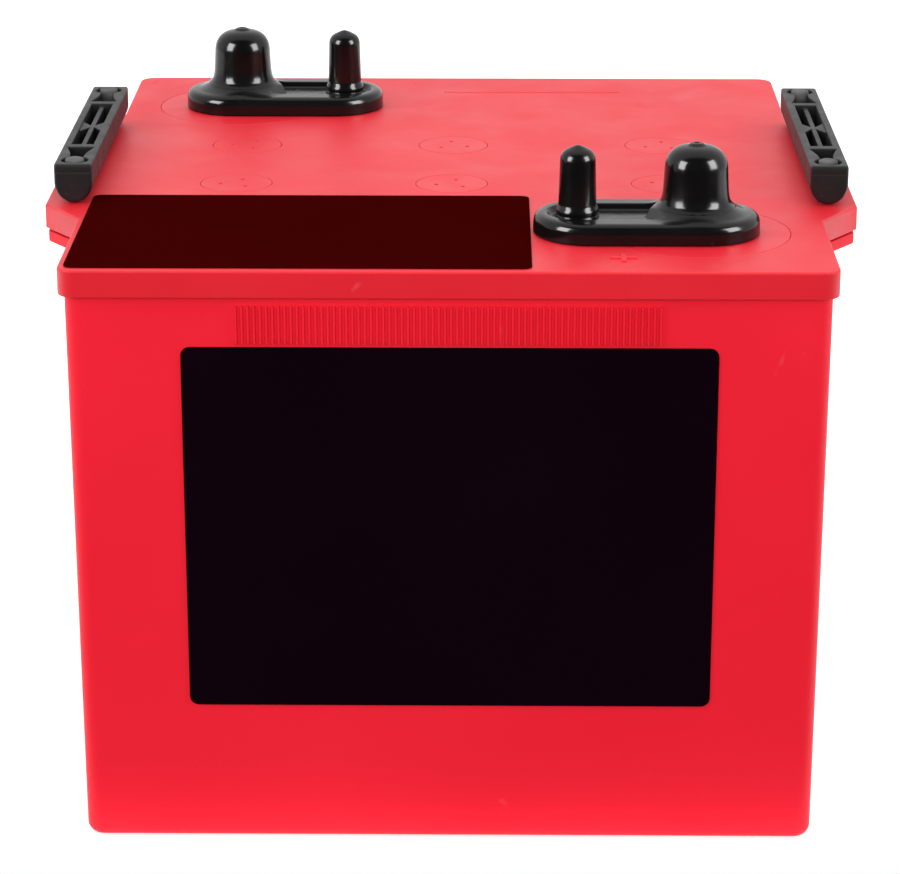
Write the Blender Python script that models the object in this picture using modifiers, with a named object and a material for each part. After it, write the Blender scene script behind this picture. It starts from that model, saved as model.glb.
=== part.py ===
"""A 12 V absorbent-glass-mat deep cycle battery, in metres, +Z up.

The origin is on the ground under the middle of the case. +X is to the right, the short
handles are on the left and right sides, and -Y is the front with the ribbed strip.
"""

import math

import bmesh
import bpy
from mathutils import Vector

# Overall sizes
LID_WIDTH = 0.254
LID_DEPTH = 0.283
LID_TOP = 0.203
CORNER = 0.006
GAP = 0.0003

# Lid
SKIRT_HEIGHT = 0.0093
PLATE = 0.005
SKIRT_WALL = 0.0016
SKIRT_BOTTOM = LID_TOP - SKIRT_HEIGHT
PLATE_UNDER = LID_TOP - PLATE
EAR_REACH = 0.1407
EAR_ROOT_HALF = 0.077
EAR_TIP_HALF = 0.058
EAR_THICK = 0.0083
TOP_ROUND = 0.0009
BELOW_LID = 0.18
ABOVE_LID = LID_TOP + 0.01

# Case
CASE_TOP_WIDTH = LID_WIDTH - 2 * (SKIRT_WALL + GAP)
CASE_TOP_DEPTH = LID_DEPTH - 2 * (SKIRT_WALL + GAP)
DRAFT = 0.00095
CASE_RIM = PLATE_UNDER - GAP
CASE_WALL = 0.004
FLOOR = 0.005
FOOT_ROUND = 0.004
PARTITION = 0.002
FLANGE_THICK = 0.004
FLANGE_INSET = 0.0018

# Ribbed strip on the front of the case
RIB_COUNT = 70
RIB_PITCH = 0.002
RIB_WIDTH = 0.0009
RIB_PROUD = 0.0007
RIB_LOW = 0.1772
RIB_HIGH = 0.1916
RIB_LAND = 0.0003

# Cells, in two rows of three
CAVITY_X = CASE_TOP_WIDTH / 2 - DRAFT - CASE_WALL
CAVITY_Y = CASE_TOP_DEPTH / 2 - DRAFT - CASE_WALL
CELL_X = (2 * CAVITY_X - 2 * PARTITION) / 3
CELL_Y = (2 * CAVITY_Y - PARTITION) / 2
COLUMN_PITCH = CELL_X + PARTITION
ROW_OFFSET = (CELL_Y + PARTITION) / 2

# Plates in one cell
PAIRS = 6
PLATE_PITCH = 0.0058
POSITIVE_THICK = 0.0028
NEGATIVE_THICK = 0.0022
MAT_THICK = 0.0018
PLATE_LOW = 0.009
PLATE_HIGH = 0.150
PLATE_HALF_Y = 0.0625
STRAP_LOW = 0.157
STRAP_HIGH = 0.165
STRAP_HALF_Y = 0.007
LUG_HALF_Y = 0.005
OUTER_STRAP = 0.0922
INNER_STRAP = 0.021
LINK_RADIUS = 0.0035
LINK_LEVEL = (STRAP_LOW + STRAP_HIGH) / 2

# Valve wells
WELL_COLUMN = 0.0765
WELL_ROW = 0.0284
WELL_RADIUS = 0.0128
WELL_WALL = 0.0022
WELL_FLOOR = 0.192
WELL_BASE = 0.190
CAP_RADIUS = WELL_RADIUS - GAP
CAP_THICK = 0.003
SPANNER_CIRCLE = 0.0056
SPANNER_HOLE = 0.0008
SPANNER_DEPTH = 0.0015
CAP_TURNS = (190, 75, 160, 55, 98, 200)
NECK_RADIUS = 0.0045
NECK_BORE = 0.0022
NECK_TOP = 0.1975
VALVE_WALL = 0.0018
VALVE_TOP = NECK_TOP + 0.0015

# Terminals
POST_X = 0.0824
POST_Y = -0.0922
STUD_SPACING = 0.0396
PAD_RADIUS = 0.0321
PAD_THICK = 0.0025
RISER_RADIUS = 0.008
BAR_THICK = 0.0036
BAR_FLOOR = 0.0008
BAR_RADIUS = 0.0125
BAR_LENGTH = STUD_SPACING + 2 * BAR_RADIUS - 0.004
COLLAR_TOP = LID_TOP + 0.0075
POST_TOP = LID_TOP + 0.0245
POSITIVE_TOP_RADIUS = 0.00875
NEGATIVE_TOP_RADIUS = 0.00795
POST_TAPER = 1 / 18
STUD_RADIUS = 0.00476
STUD_TOP = LID_TOP + 0.0235
POST_CHAMFER = 0.0008
STUD_CHAMFER = 0.001

# Boots
BOOT_LENGTH = 0.0763
BOOT_WIDTH = 0.0385
BOOT_HEIGHT = 0.007
BOOT_WALL = 0.0015
BOOT_ROUND = 0.0014
DOME_WALL = 0.0009
SLEEVE_WALL = 0.0008
BOOT_MIDDLE = 0.0163
DOME_TOP = LID_TOP + 0.0305
STUD_DOME_TOP = LID_TOP + 0.0297

# Handles
GRIP_X = 0.1307
GRIP_SHIFT = 0.0025
GRIP_LENGTH = 0.1215
GRIP_WIDTH = 0.0132
GRIP_TOP = LID_TOP + 0.014
GRIP_UNDER = LID_TOP + GAP
GRIP_SHOULDER = GRIP_UNDER + 0.0072
ROPE_OFFSET = 0.054
ROPE_RADIUS = 0.0028
ROPE_HOLE = 0.0032
POCKET_DEPTH = 0.0045
POCKET_HALF = 0.0039
POCKET_REACH = 0.0312
TRENCH_DEPTH = 0.0012
RIB_HALF = 0.0008
GUSSET_WALL = 0.0065
GUSSET_RIB = 0.0012
FLARE_START = 0.0355
FLARE_WIDE = 0.0045
FLARE_NARROW = 0.0026
ROPE_SEAT = 0.0046
KNOT_TOP = 0.136
KNOT_RADIUS = 0.005
ROPE_END = 0.121
ROPE_HEAD_RADIUS = 0.0040
ROPE_HEAD_HEIGHT = 0.0028

# Labels and marks
LABEL_THICK = 0.0003
LABEL_CLEAR = 0.0002
FRONT_LABEL = (0.1755, 0.1268)
FRONT_LABEL_MIDDLE = (0.0005, 0.1134)
TOP_LABEL = (0.1520, 0.0915)
TOP_LABEL_MIDDLE = (-0.0488, -0.0930)
LABEL_CORNER = 0.003
MARK_PROUD = 0.0006
MARK_ARM = 0.0090
MARK_STROKE = 0.0018
MARK_ROOT = LID_TOP - 0.001
MARK_PLACE = (0.0572, -0.1252)
PANEL = (0.0695, 0.0220)
PANEL_MIDDLE = (0.0302, 0.1265)
PANEL_PROUD = 0.0004

SIDES = {"left": -1, "right": 1}
POLES = {"positive": 1, "negative": -1}


def empty_scene():
    for thing in list(bpy.data.objects):
        bpy.data.objects.remove(thing, do_unlink=True)


def new_collection(name, shown):
    made = bpy.data.collections.new(name)
    made.hide_render = not shown
    bpy.context.scene.collection.children.link(made)
    return made


def new_material(name, colour, roughness, metallic=0.0):
    made = bpy.data.materials.new(name)
    made.use_nodes = True
    shader = made.node_tree.nodes["Principled BSDF"]
    shader.inputs["Base Color"].default_value = (*colour, 1.0)
    shader.inputs["Roughness"].default_value = roughness
    shader.inputs["Metallic"].default_value = metallic
    made.diffuse_color = (*colour, 1.0)
    return made


def arc(centre, radius, start, stop, steps):
    """Points along an arc in degrees, both ends included."""
    turns = [math.radians(start + (stop - start) * i / steps) for i in range(steps + 1)]
    return [(centre[0] + radius * math.cos(t), centre[1] + radius * math.sin(t)) for t in turns]


def rounded_rectangle(width, depth, radius, middle=(0.0, 0.0), steps=4):
    points = []
    for quarter, (sx, sy) in enumerate(((1, 1), (-1, 1), (-1, -1), (1, -1))):
        corner = (middle[0] + sx * (width / 2 - radius), middle[1] + sy * (depth / 2 - radius))
        points += arc(corner, radius, 90 * quarter, 90 * quarter + 90, steps)
    return points


def rectangle(width, depth, middle=(0.0, 0.0)):
    x, y = width / 2, depth / 2
    return [(middle[0] + sx * x, middle[1] + sy * y) for sx, sy in ((1, 1), (-1, 1), (-1, -1), (1, -1))]


def add_object(name, mesh, place=(0.0, 0.0, 0.0)):
    made = bpy.data.objects.new(name, mesh)
    made.location = place
    cutters.objects.link(made)
    made.hide_render = True
    made.display_type = "WIRE"
    return made


def prism(name, outline, low, high, place=(0.0, 0.0, 0.0)):
    """A flat outline made solid between two heights, as a mesh."""
    curve = bpy.data.curves.new(name, "CURVE")
    curve.dimensions = "2D"
    curve.fill_mode = "BOTH"
    curve.extrude = (high - low) / 2
    spline = curve.splines.new("POLY")
    spline.points.add(len(outline) - 1)
    for point, (x, y) in zip(spline.points, outline):
        point.co = (x, y, 0.0, 1.0)
    spline.use_cyclic_u = True
    guide = add_object(name + "_outline", curve)
    bpy.context.view_layer.update()
    mesh = bpy.data.meshes.new_from_object(guide.evaluated_get(bpy.context.evaluated_depsgraph_get()))
    bpy.data.objects.remove(guide, do_unlink=True)
    mesh.name = name
    shape = bmesh.new()
    shape.from_mesh(mesh)
    bmesh.ops.remove_doubles(shape, verts=shape.verts, dist=1e-6)
    bmesh.ops.translate(shape, verts=shape.verts, vec=(0.0, 0.0, (low + high) / 2))
    bmesh.ops.dissolve_limit(shape, angle_limit=0.001, verts=shape.verts, edges=shape.edges)
    bmesh.ops.recalc_face_normals(shape, faces=shape.faces)
    shape.to_mesh(mesh)
    shape.free()
    return add_object(name, mesh, place)


def cylinder(name, radius, low, high, place=(0.0, 0.0), sides=24, top_radius=None):
    shape = bmesh.new()
    upper = radius if top_radius is None else top_radius
    bmesh.ops.create_cone(
        shape, cap_ends=True, segments=sides, radius1=radius, radius2=upper, depth=high - low
    )
    mesh = bpy.data.meshes.new(name)
    shape.to_mesh(mesh)
    shape.free()
    return add_object(name, mesh, (place[0], place[1], (low + high) / 2))


def turned(name, profile, place=(0.0, 0.0, 0.0), sides=24):
    """A profile of (radius, height) pairs, listed down the outer side, turned about Z."""
    mesh = bpy.data.meshes.new(name)
    edges = [(i, i + 1) for i in range(len(profile) - 1)]
    mesh.from_pydata([(r, 0.0, z) for r, z in profile], edges, [])
    made = add_object(name, mesh, place)
    screw = made.modifiers.new("turn", "SCREW")
    screw.steps = sides
    screw.render_steps = sides
    screw.use_merge_vertices = True
    screw.merge_threshold = 1e-6
    return made


def boolean(target, tool, operation):
    step = target.modifiers.new(operation.lower(), "BOOLEAN")
    step.operation = operation
    step.object = tool
    step.solver = "EXACT"


def cut(target, *tools):
    for tool in tools:
        boolean(target, tool, "DIFFERENCE")


def join(target, *pieces):
    for piece in pieces:
        boolean(target, piece, "UNION")


def finish(piece, material, parent=None):
    """Moves a built piece out of the cutters and gives it its material and shading."""
    piece.data.materials.clear()
    piece.data.materials.append(material)
    cutters.objects.unlink(piece)
    battery.objects.link(piece)
    piece.hide_render = False
    piece.display_type = "TEXTURED"
    piece.data.shade_smooth()
    piece.data.set_sharp_from_angle(angle=math.radians(35))
    if parent:
        bpy.context.view_layer.update()
        piece.parent = parent
        piece.matrix_parent_inverse = parent.matrix_world.inverted()
    return piece


def pivot(name, place):
    """An empty on the line that a moving piece travels along."""
    made = bpy.data.objects.new(name, None)
    made.location = place
    made.empty_display_size = 0.02
    battery.objects.link(made)
    return made


def move_ends(piece, high, factor_x, factor_y):
    """Scales the end of a mesh that lies above or below its middle, which gives it draft."""
    middle = sum(v.co.z for v in piece.data.vertices) / len(piece.data.vertices)
    for vertex in piece.data.vertices:
        if (vertex.co.z > middle) == high:
            vertex.co.x *= factor_x
            vertex.co.y *= factor_y


def round_edges(piece, height, width, steps):
    """Rounds the ring of edges that lies at one height of a mesh."""
    shape = bmesh.new()
    shape.from_mesh(piece.data)
    ring = [e for e in shape.edges if all(abs(v.co.z - height) < 1e-5 for v in e.verts)]
    bmesh.ops.bevel(shape, geom=ring, offset=width, segments=steps, profile=0.5, affect="EDGES")
    shape.to_mesh(piece.data)
    shape.free()


def ear_outline(side, inset=0.0):
    """The trapezoid of one handle lug, with its root inside the lid."""
    root = side * (LID_WIDTH / 2 - 0.004)
    edge = side * (LID_WIDTH / 2 - inset)
    reach = side * (EAR_REACH - inset)
    return [
        (root, -EAR_ROOT_HALF + inset),
        (edge, -EAR_ROOT_HALF + inset),
        (reach, -EAR_TIP_HALF + inset * 0.5),
        (reach, EAR_TIP_HALF - inset * 0.5),
        (edge, EAR_ROOT_HALF - inset),
        (root, EAR_ROOT_HALF - inset),
    ]


def rope_places(side):
    return [(side * GRIP_X, GRIP_SHIFT + end * ROPE_OFFSET) for end in (-1, 1)]


def cell_middle(column, row):
    return column * COLUMN_PITCH, row * ROW_OFFSET


def build_case():
    case = prism("case", rounded_rectangle(CASE_TOP_WIDTH, CASE_TOP_DEPTH, CORNER), 0.0, CASE_RIM)
    move_ends(case, False, 1 - 2 * DRAFT / CASE_TOP_WIDTH, 1 - 2 * DRAFT / CASE_TOP_DEPTH)
    round_edges(case, 0.0, FOOT_ROUND, 3)

    flange_top = SKIRT_BOTTOM - GAP
    for side_name, side in SIDES.items():
        outline = ear_outline(side, FLANGE_INSET)
        join(case, prism(f"case_flange_{side_name}", outline, flange_top - FLANGE_THICK, flange_top))
        for number, place in enumerate(rope_places(side)):
            hole_name = f"flange_hole_{side_name}_{number}"
            hole = cylinder(hole_name, ROPE_HOLE + GAP, BELOW_LID, ABOVE_LID, place, 16)
            cut(case, hole)

    rib_root = -CASE_TOP_DEPTH / 2 + 0.001
    rib_front = -CASE_TOP_DEPTH / 2 - RIB_PROUD
    land = -CASE_TOP_DEPTH / 2 + RIB_LAND
    comb = []
    for number in range(RIB_COUNT):
        middle = (number - (RIB_COUNT - 1) / 2) * RIB_PITCH
        left, right = middle - RIB_WIDTH / 2, middle + RIB_WIDTH / 2
        comb += [(left, land), (left, rib_front), (right, rib_front), (right, land)]
    comb += [(comb[-1][0], rib_root), (comb[0][0], rib_root)]
    join(case, prism("case_ribs", comb, RIB_LOW, RIB_HIGH))

    for column in (-1, 0, 1):
        for row in (-1, 1):
            outline = rounded_rectangle(CELL_X, CELL_Y, 0.003, cell_middle(column, row), 2)
            cut(case, prism(f"cell_space_{column}_{row}", outline, FLOOR, ABOVE_LID))

    for name, start, stop in link_ends():
        hole = cylinder(f"{name}_hole", LINK_RADIUS + GAP, -1.5 * PARTITION, 1.5 * PARTITION)
        lay_along(hole, start, stop)
        cut(case, hole)
    return finish(case, red_case)


def build_lid():
    lid = prism("lid", rounded_rectangle(LID_WIDTH, LID_DEPTH, CORNER), SKIRT_BOTTOM, LID_TOP)
    round_edges(lid, LID_TOP, TOP_ROUND, 2)
    hollow = rounded_rectangle(CASE_TOP_WIDTH + 2 * GAP, CASE_TOP_DEPTH + 2 * GAP, CORNER - 0.001)
    cut(lid, prism("lid_hollow", hollow, BELOW_LID, PLATE_UNDER))

    for side_name, side in SIDES.items():
        ear = prism(f"ear_{side_name}", ear_outline(side), LID_TOP - EAR_THICK, LID_TOP)
        room = rectangle(0.02, 0.2, (side * (CASE_TOP_WIDTH / 2 + GAP - 0.01), 0.0))
        cut(ear, prism(f"ear_room_{side_name}", room, BELOW_LID, PLATE_UNDER))
        join(lid, ear)
        for number, place in enumerate(rope_places(side)):
            hole_name = f"ear_hole_{side_name}_{number}"
            cut(lid, cylinder(hole_name, ROPE_HOLE, BELOW_LID, ABOVE_LID, place, 16))

    for number, (x, y) in enumerate(well_places()):
        outside, root = WELL_RADIUS + WELL_WALL, PLATE_UNDER + 0.002
        join(lid, cylinder(f"well_{number}", outside, WELL_BASE, root, (x, y)))
        cut(lid, cylinder(f"well_room_{number}", WELL_RADIUS, WELL_FLOOR, ABOVE_LID, (x, y), 32))
        join(lid, cylinder(f"neck_{number}", NECK_RADIUS, WELL_BASE + 0.001, NECK_TOP, (x, y), 16))
        cut(lid, cylinder(f"neck_bore_{number}", NECK_BORE, BELOW_LID, ABOVE_LID, (x, y), 12))

    for pole_name, pole in POLES.items():
        place = (pole * POST_X, pole * POST_Y)
        pad_floor = LID_TOP - PAD_THICK - GAP
        pad_room = cylinder(f"pad_room_{pole_name}", PAD_RADIUS + GAP, pad_floor, ABOVE_LID, place, 48)
        bore = RISER_RADIUS + GAP
        riser_room = cylinder(f"riser_room_{pole_name}", bore, BELOW_LID, ABOVE_LID, place)
        cut(lid, pad_room, riser_room)

    x, y = MARK_PLACE
    high = LID_TOP + MARK_PROUD
    plus_bar = prism("plus_bar", rectangle(MARK_ARM, MARK_STROKE, (x, y)), MARK_ROOT, high)
    plus_stem = prism("plus_stem", rectangle(MARK_STROKE, MARK_ARM, (x, y)), MARK_ROOT, high)
    minus_bar = prism("minus_bar", rectangle(MARK_ARM, MARK_STROKE, (-x, -y)), MARK_ROOT, high)
    panel = prism("rear_panel", rectangle(*PANEL, PANEL_MIDDLE), MARK_ROOT, LID_TOP + PANEL_PROUD)
    join(lid, plus_bar, plus_stem, minus_bar, panel)
    return finish(lid, red_lid)


def well_places():
    return [(column * WELL_COLUMN, row * WELL_ROW) for row in (-1, 1) for column in (-1, 0, 1)]


def build_vents():
    for number, ((x, y), turn) in enumerate(zip(well_places(), CAP_TURNS), start=1):
        cap = cylinder(f"vent_cap_{number}", CAP_RADIUS, LID_TOP - CAP_THICK, LID_TOP, (x, y), 32)
        for hole_number in range(3):
            angle = math.radians(turn + 120 * hole_number)
            place = (x + SPANNER_CIRCLE * math.cos(angle), y + SPANNER_CIRCLE * math.sin(angle))
            name = f"spanner_hole_{number}_{hole_number}"
            cut(cap, cylinder(name, SPANNER_HOLE, LID_TOP - SPANNER_DEPTH, ABOVE_LID, place, 8))
        finish(cap, red_cap)

        inner, outer = NECK_RADIUS + GAP, NECK_RADIUS + VALVE_WALL
        profile = [
            (0.0, VALVE_TOP),
            (outer - 0.0008, VALVE_TOP),
            (outer, VALVE_TOP - 0.0008),
            (outer, WELL_FLOOR + 0.001),
            (inner, WELL_FLOOR + 0.001),
            (inner, NECK_TOP + GAP),
            (0.0, NECK_TOP + GAP),
        ]
        finish(turned(f"relief_valve_{number}", profile, (x, y, 0.0), 16), rubber)


def post_profile(top_radius):
    """The outer side of the tapered post and its collar, above the bar."""
    foot_radius = top_radius + (POST_TOP - COLLAR_TOP) * POST_TAPER
    bar_inside = LID_TOP + GAP + 0.001
    return [
        (0.0, POST_TOP),
        (top_radius - POST_CHAMFER, POST_TOP),
        (top_radius, POST_TOP - POST_CHAMFER),
        (foot_radius, COLLAR_TOP),
        (foot_radius + 0.0006, COLLAR_TOP),
        (foot_radius + 0.0006, bar_inside),
        (0.0, bar_inside),
    ]


def stadium(length, width, middle, steps=8):
    reach = (length - width) / 2
    right = arc((middle[0] + reach, middle[1]), width / 2, -90, 90, steps)
    left = arc((middle[0] - reach, middle[1]), width / 2, 90, 270, steps)
    return right + left


def build_terminals():
    for name, pole in POLES.items():
        x, y = pole * POST_X, pole * POST_Y
        stud_x = x - pole * STUD_SPACING
        top_radius = POSITIVE_TOP_RADIUS if pole > 0 else NEGATIVE_TOP_RADIUS

        pad = cylinder(f"terminal_pad_{name}", PAD_RADIUS, LID_TOP - PAD_THICK, LID_TOP, (x, y), 48)
        cut(pad, cylinder(f"pad_hole_{name}", RISER_RADIUS + GAP, BELOW_LID, ABOVE_LID, (x, y)))
        finish(pad, red_pad)

        middle = ((x + stud_x) / 2, y)
        bar = stadium(BAR_LENGTH, 2 * BAR_RADIUS, middle)
        low, high = LID_TOP + GAP, LID_TOP + GAP + BAR_THICK
        casting = prism(f"terminal_casting_{name}", bar, low, high)
        riser = cylinder(f"riser_{name}", RISER_RADIUS, STRAP_HIGH + GAP, low + 0.001, (x, y))
        post = turned(f"post_{name}", post_profile(top_radius), (x, y, 0.0), 32)
        join(casting, riser, post)
        stud_seat = cylinder(
            f"stud_seat_{name}", STUD_RADIUS + GAP, low + BAR_FLOOR, POST_TOP, (stud_x, y), 20
        )
        cut(casting, stud_seat)
        finish(casting, lead)

        seat = low + BAR_FLOOR + GAP
        profile = [
            (0.0, STUD_TOP),
            (STUD_RADIUS - STUD_CHAMFER, STUD_TOP),
            (STUD_RADIUS, STUD_TOP - STUD_CHAMFER),
            (STUD_RADIUS, seat),
            (0.0, seat),
        ]
        finish(turned(f"stud_{name}", profile, (stud_x, y, 0.0), 20), steel)


def dome_profile(offset):
    """The bell round the tapered post. A negative offset gives the room inside it."""
    return [
        (0.0, DOME_TOP + offset),
        (0.0062 + offset, DOME_TOP - 0.0012 + offset),
        (0.0090 + offset, DOME_TOP - 0.0030 + offset),
        (0.0102 + offset, DOME_TOP - 0.0058),
        (0.0106 + offset, LID_TOP + 0.0200),
        (0.0112 + offset, LID_TOP + 0.0140),
        (0.0122 + offset, LID_TOP + 0.0115),
        (0.0165 + offset, LID_TOP + 0.0066),
        (0.0165 + offset, LID_TOP + 0.0030),
        (0.0, LID_TOP + 0.0030),
    ]


def stud_dome_profile(offset):
    """The slim sleeve round the stud. A negative offset gives the room inside it."""
    return [
        (0.0, STUD_DOME_TOP + offset),
        (0.0036 + offset, STUD_DOME_TOP - 0.0018 + offset),
        (0.0057 + offset, STUD_DOME_TOP - 0.0046 + offset),
        (0.0060 + offset, LID_TOP + 0.0200),
        (0.0064 + offset, LID_TOP + 0.0078),
        (0.0071 + offset, LID_TOP + 0.0070),
        (0.0071 + offset, LID_TOP + 0.0030),
        (0.0, LID_TOP + 0.0030),
    ]


def build_boots():
    for name, pole in POLES.items():
        x, y = pole * POST_X, pole * POST_Y
        stud_x = x - pole * STUD_SPACING
        middle = (x - pole * BOOT_MIDDLE, y)
        low, high = LID_TOP + GAP, LID_TOP + BOOT_HEIGHT
        joint = pivot(f"boot_{name}_lift", (x, y, low))

        boot = prism(f"boot_{name}", stadium(BOOT_LENGTH, BOOT_WIDTH, middle), low, high)
        round_edges(boot, high, BOOT_ROUND, 2)
        dome = turned(f"dome_{name}", dome_profile(0.0), (x, y, 0.0))
        sleeve = turned(f"sleeve_{name}", stud_dome_profile(0.0), (stud_x, y, 0.0), 20)
        join(boot, dome, sleeve)

        room_outline = stadium(BOOT_LENGTH - 2 * BOOT_WALL, BOOT_WIDTH - 2 * BOOT_WALL, middle)
        room = prism(f"boot_room_{name}", room_outline, low - 0.005, high - BOOT_WALL)
        dome_room = turned(f"dome_room_{name}", dome_profile(-DOME_WALL), (x, y, 0.0))
        sleeve_inside = stud_dome_profile(-SLEEVE_WALL)
        sleeve_room = turned(f"sleeve_room_{name}", sleeve_inside, (stud_x, y, 0.0), 20)
        cut(boot, room, dome_room, sleeve_room)
        finish(boot, vinyl, joint)


def grip_section():
    """The end view of a grip: a flat top, straight sides and a round underside."""
    half = GRIP_WIDTH / 2
    under = []
    for step in range(10):
        turn = math.radians(-180 * step / 9)
        drop = (GRIP_SHOULDER - GRIP_UNDER) * math.sin(turn)
        under.append((half * math.cos(turn), GRIP_SHOULDER + drop))
    return [(-half, GRIP_TOP), (half, GRIP_TOP)] + under


def build_grip(side_name, side):
    joint = pivot(f"handle_{side_name}_lift", (side * GRIP_X, GRIP_SHIFT, GRIP_UNDER))
    length = GRIP_LENGTH / 2
    grip = prism(f"handle_grip_{side_name}", grip_section(), -length, length)
    stand_up(grip, (side * GRIP_X, GRIP_SHIFT, 0.0))

    floor, above = GRIP_TOP - POCKET_DEPTH, GRIP_TOP + 0.005
    x, y = side * GRIP_X, GRIP_SHIFT
    for end in (-1, 1):
        near, far = y + end * FLARE_START, y + end * (ROPE_OFFSET - 0.003)
        flare = [
            (x - FLARE_WIDE, near),
            (x + FLARE_WIDE, near),
            (x + FLARE_NARROW, far),
            (x - FLARE_NARROW, far),
        ]
        rope = (x, y + end * ROPE_OFFSET)
        seat = cylinder(f"rope_seat_{side_name}_{end}", ROPE_SEAT, floor - 0.0002, above, rope, 20)
        hole = cylinder(f"grip_hole_{side_name}_{end}", ROPE_HOLE, BELOW_LID, above, rope, 16)
        cut(grip, prism(f"flare_{side_name}_{end}", flare, floor, above), seat, hole)

    for across in (-1, 1):
        for along in (-1, 1):
            wall = x + across * POCKET_HALF
            rib = x + across * RIB_HALF
            pocket = [
                (wall, y + along * POCKET_REACH),
                (rib, y + along * POCKET_REACH),
                (rib, y + along * GUSSET_RIB),
                (wall, y + along * GUSSET_WALL),
            ]
            cut(grip, prism(f"pocket_{side_name}_{across}_{along}", pocket, floor, above))
    trench = rectangle(2 * POCKET_HALF + 0.0004, 2 * POCKET_REACH + 0.0004, (x, y))
    cut(grip, prism(f"trench_{side_name}", trench, GRIP_TOP - TRENCH_DEPTH, above))
    return finish(grip, grip_plastic, joint), joint


def build_ropes(side_name, side, joint):
    head_low = GRIP_TOP - POCKET_DEPTH + GAP
    for end_name, place in zip(("front", "rear"), rope_places(side)):
        profile = [
            (0.0, head_low + ROPE_HEAD_HEIGHT),
            (ROPE_HEAD_RADIUS - 0.001, head_low + ROPE_HEAD_HEIGHT - 0.0002),
            (ROPE_HEAD_RADIUS, head_low + ROPE_HEAD_HEIGHT / 2),
            (ROPE_HEAD_RADIUS, head_low),
            (ROPE_RADIUS, head_low),
            (ROPE_RADIUS, KNOT_TOP),
            (KNOT_RADIUS, KNOT_TOP - 0.002),
            (KNOT_RADIUS, KNOT_TOP - 0.009),
            (ROPE_RADIUS, KNOT_TOP - 0.011),
            (ROPE_RADIUS, ROPE_END),
            (0.0, ROPE_END),
        ]
        rope = turned(f"handle_rope_{side_name}_{end_name}", profile, (*place, 0.0), 12)
        finish(rope, cord, joint)


def stand_up(piece, place):
    """Turns a prism so that its outline faces along Y and its height runs along Y."""
    piece.rotation_euler = (math.pi / 2, 0.0, 0.0)
    piece.location = place


def lay_along(piece, start, stop):
    """Turns an upright piece so that it runs from one point to another, centred between them."""
    run = [b - a for a, b in zip(start, stop)]
    along_x = abs(run[0]) > abs(run[1])
    piece.rotation_euler = (0.0, math.pi / 2, 0.0) if along_x else (math.pi / 2, 0.0, 0.0)
    piece.location = [(a + b) / 2 for a, b in zip(start, stop)]


def cell_order():
    """The six cells in series, from the negative terminal, as (column, row)."""
    return [(-1, 1), (-1, -1), (0, -1), (0, 1), (1, 1), (1, -1)]


def strap_lines():
    """For each cell, the Y of its negative strap and of its positive strap."""
    lines = []
    for number, (_, row) in enumerate(cell_order()):
        outer, inner = row * OUTER_STRAP, row * INNER_STRAP
        lines.append((outer, inner) if number % 2 == 0 else (inner, outer))
    return lines


def link_ends():
    """The leads through the partitions, as (name, start, stop)."""
    ends = []
    order, lines = cell_order(), strap_lines()
    half_x = CELL_X / 2 - 0.002
    for number in range(5):
        here, there = order[number], order[number + 1]
        name = f"cell_link_{number + 1}_{number + 2}"
        if here[0] == there[0]:
            x = here[0] * COLUMN_PITCH
            reach = INNER_STRAP - STRAP_HALF_Y - GAP
            ends.append((name, (x, -reach, LINK_LEVEL), (x, reach, LINK_LEVEL)))
        else:
            middle = (here[0] + there[0]) / 2 * COLUMN_PITCH
            reach = COLUMN_PITCH / 2 - half_x - GAP
            y = lines[number][1]
            ends.append((name, (middle - reach, y, LINK_LEVEL), (middle + reach, y, LINK_LEVEL)))
    return ends


def build_plate_group(name, column, row, places, thick, strap_y):
    """Plates joined at the top by their lugs and one cast strap."""
    x, y = cell_middle(column, row)
    strap_x = CELL_X / 2 - 0.002
    strap_outline = rectangle(2 * strap_x, 2 * STRAP_HALF_Y, (x, strap_y))
    group = prism(name, strap_outline, STRAP_LOW, STRAP_HIGH)
    for number, place in enumerate(places):
        sheet_outline = rectangle(thick, 2 * PLATE_HALF_Y, (x + place, y))
        lug_outline = rectangle(thick, 2 * LUG_HALF_Y, (x + place, strap_y))
        sheet = prism(f"{name}_sheet_{number}", sheet_outline, PLATE_LOW, PLATE_HIGH)
        lug = prism(f"{name}_lug_{number}", lug_outline, PLATE_HIGH - 0.002, STRAP_LOW + 0.002)
        join(group, sheet, lug)
    return finish(group, grid)


def ribbon(line, thickness):
    """The outline of a strip of even thickness along a line with square bends."""
    half = thickness / 2
    left, right = [], []
    for number, point in enumerate(line):
        before = line[max(number - 1, 0)]
        after = line[min(number + 1, len(line) - 1)]
        ways = [Vector(b) - Vector(a) for a, b in ((before, point), (point, after))]
        ways = [way.normalized() for way in ways if way.length > 0]
        side = sum((Vector((-way.y, way.x)) for way in ways), Vector((0.0, 0.0)))
        if len(ways) == 1 or ways[0].dot(ways[1]) > 0.9:
            side.normalize()
        left.append(Vector(point) + half * side)
        right.append(Vector(point) - half * side)
    return [tuple(point) for point in left + right[::-1]]


def build_mat(name, column, row):
    """One folded mat of glass fibre that passes between every two plates."""
    x, y = cell_middle(column, row)
    gaps = 2 * PAIRS
    reach = PLATE_HALF_Y + 2 * GAP + MAT_THICK / 2
    line = []
    for fold in range(gaps):
        place = x + (fold - (gaps - 1) / 2) * PLATE_PITCH
        end = 1 if fold % 2 == 0 else -1
        line += [(place, y - end * reach), (place, y + end * reach)]
    mat = prism(name, ribbon(line, MAT_THICK), PLATE_LOW, PLATE_HIGH + 0.002)
    return finish(mat, glass_mat)


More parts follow.
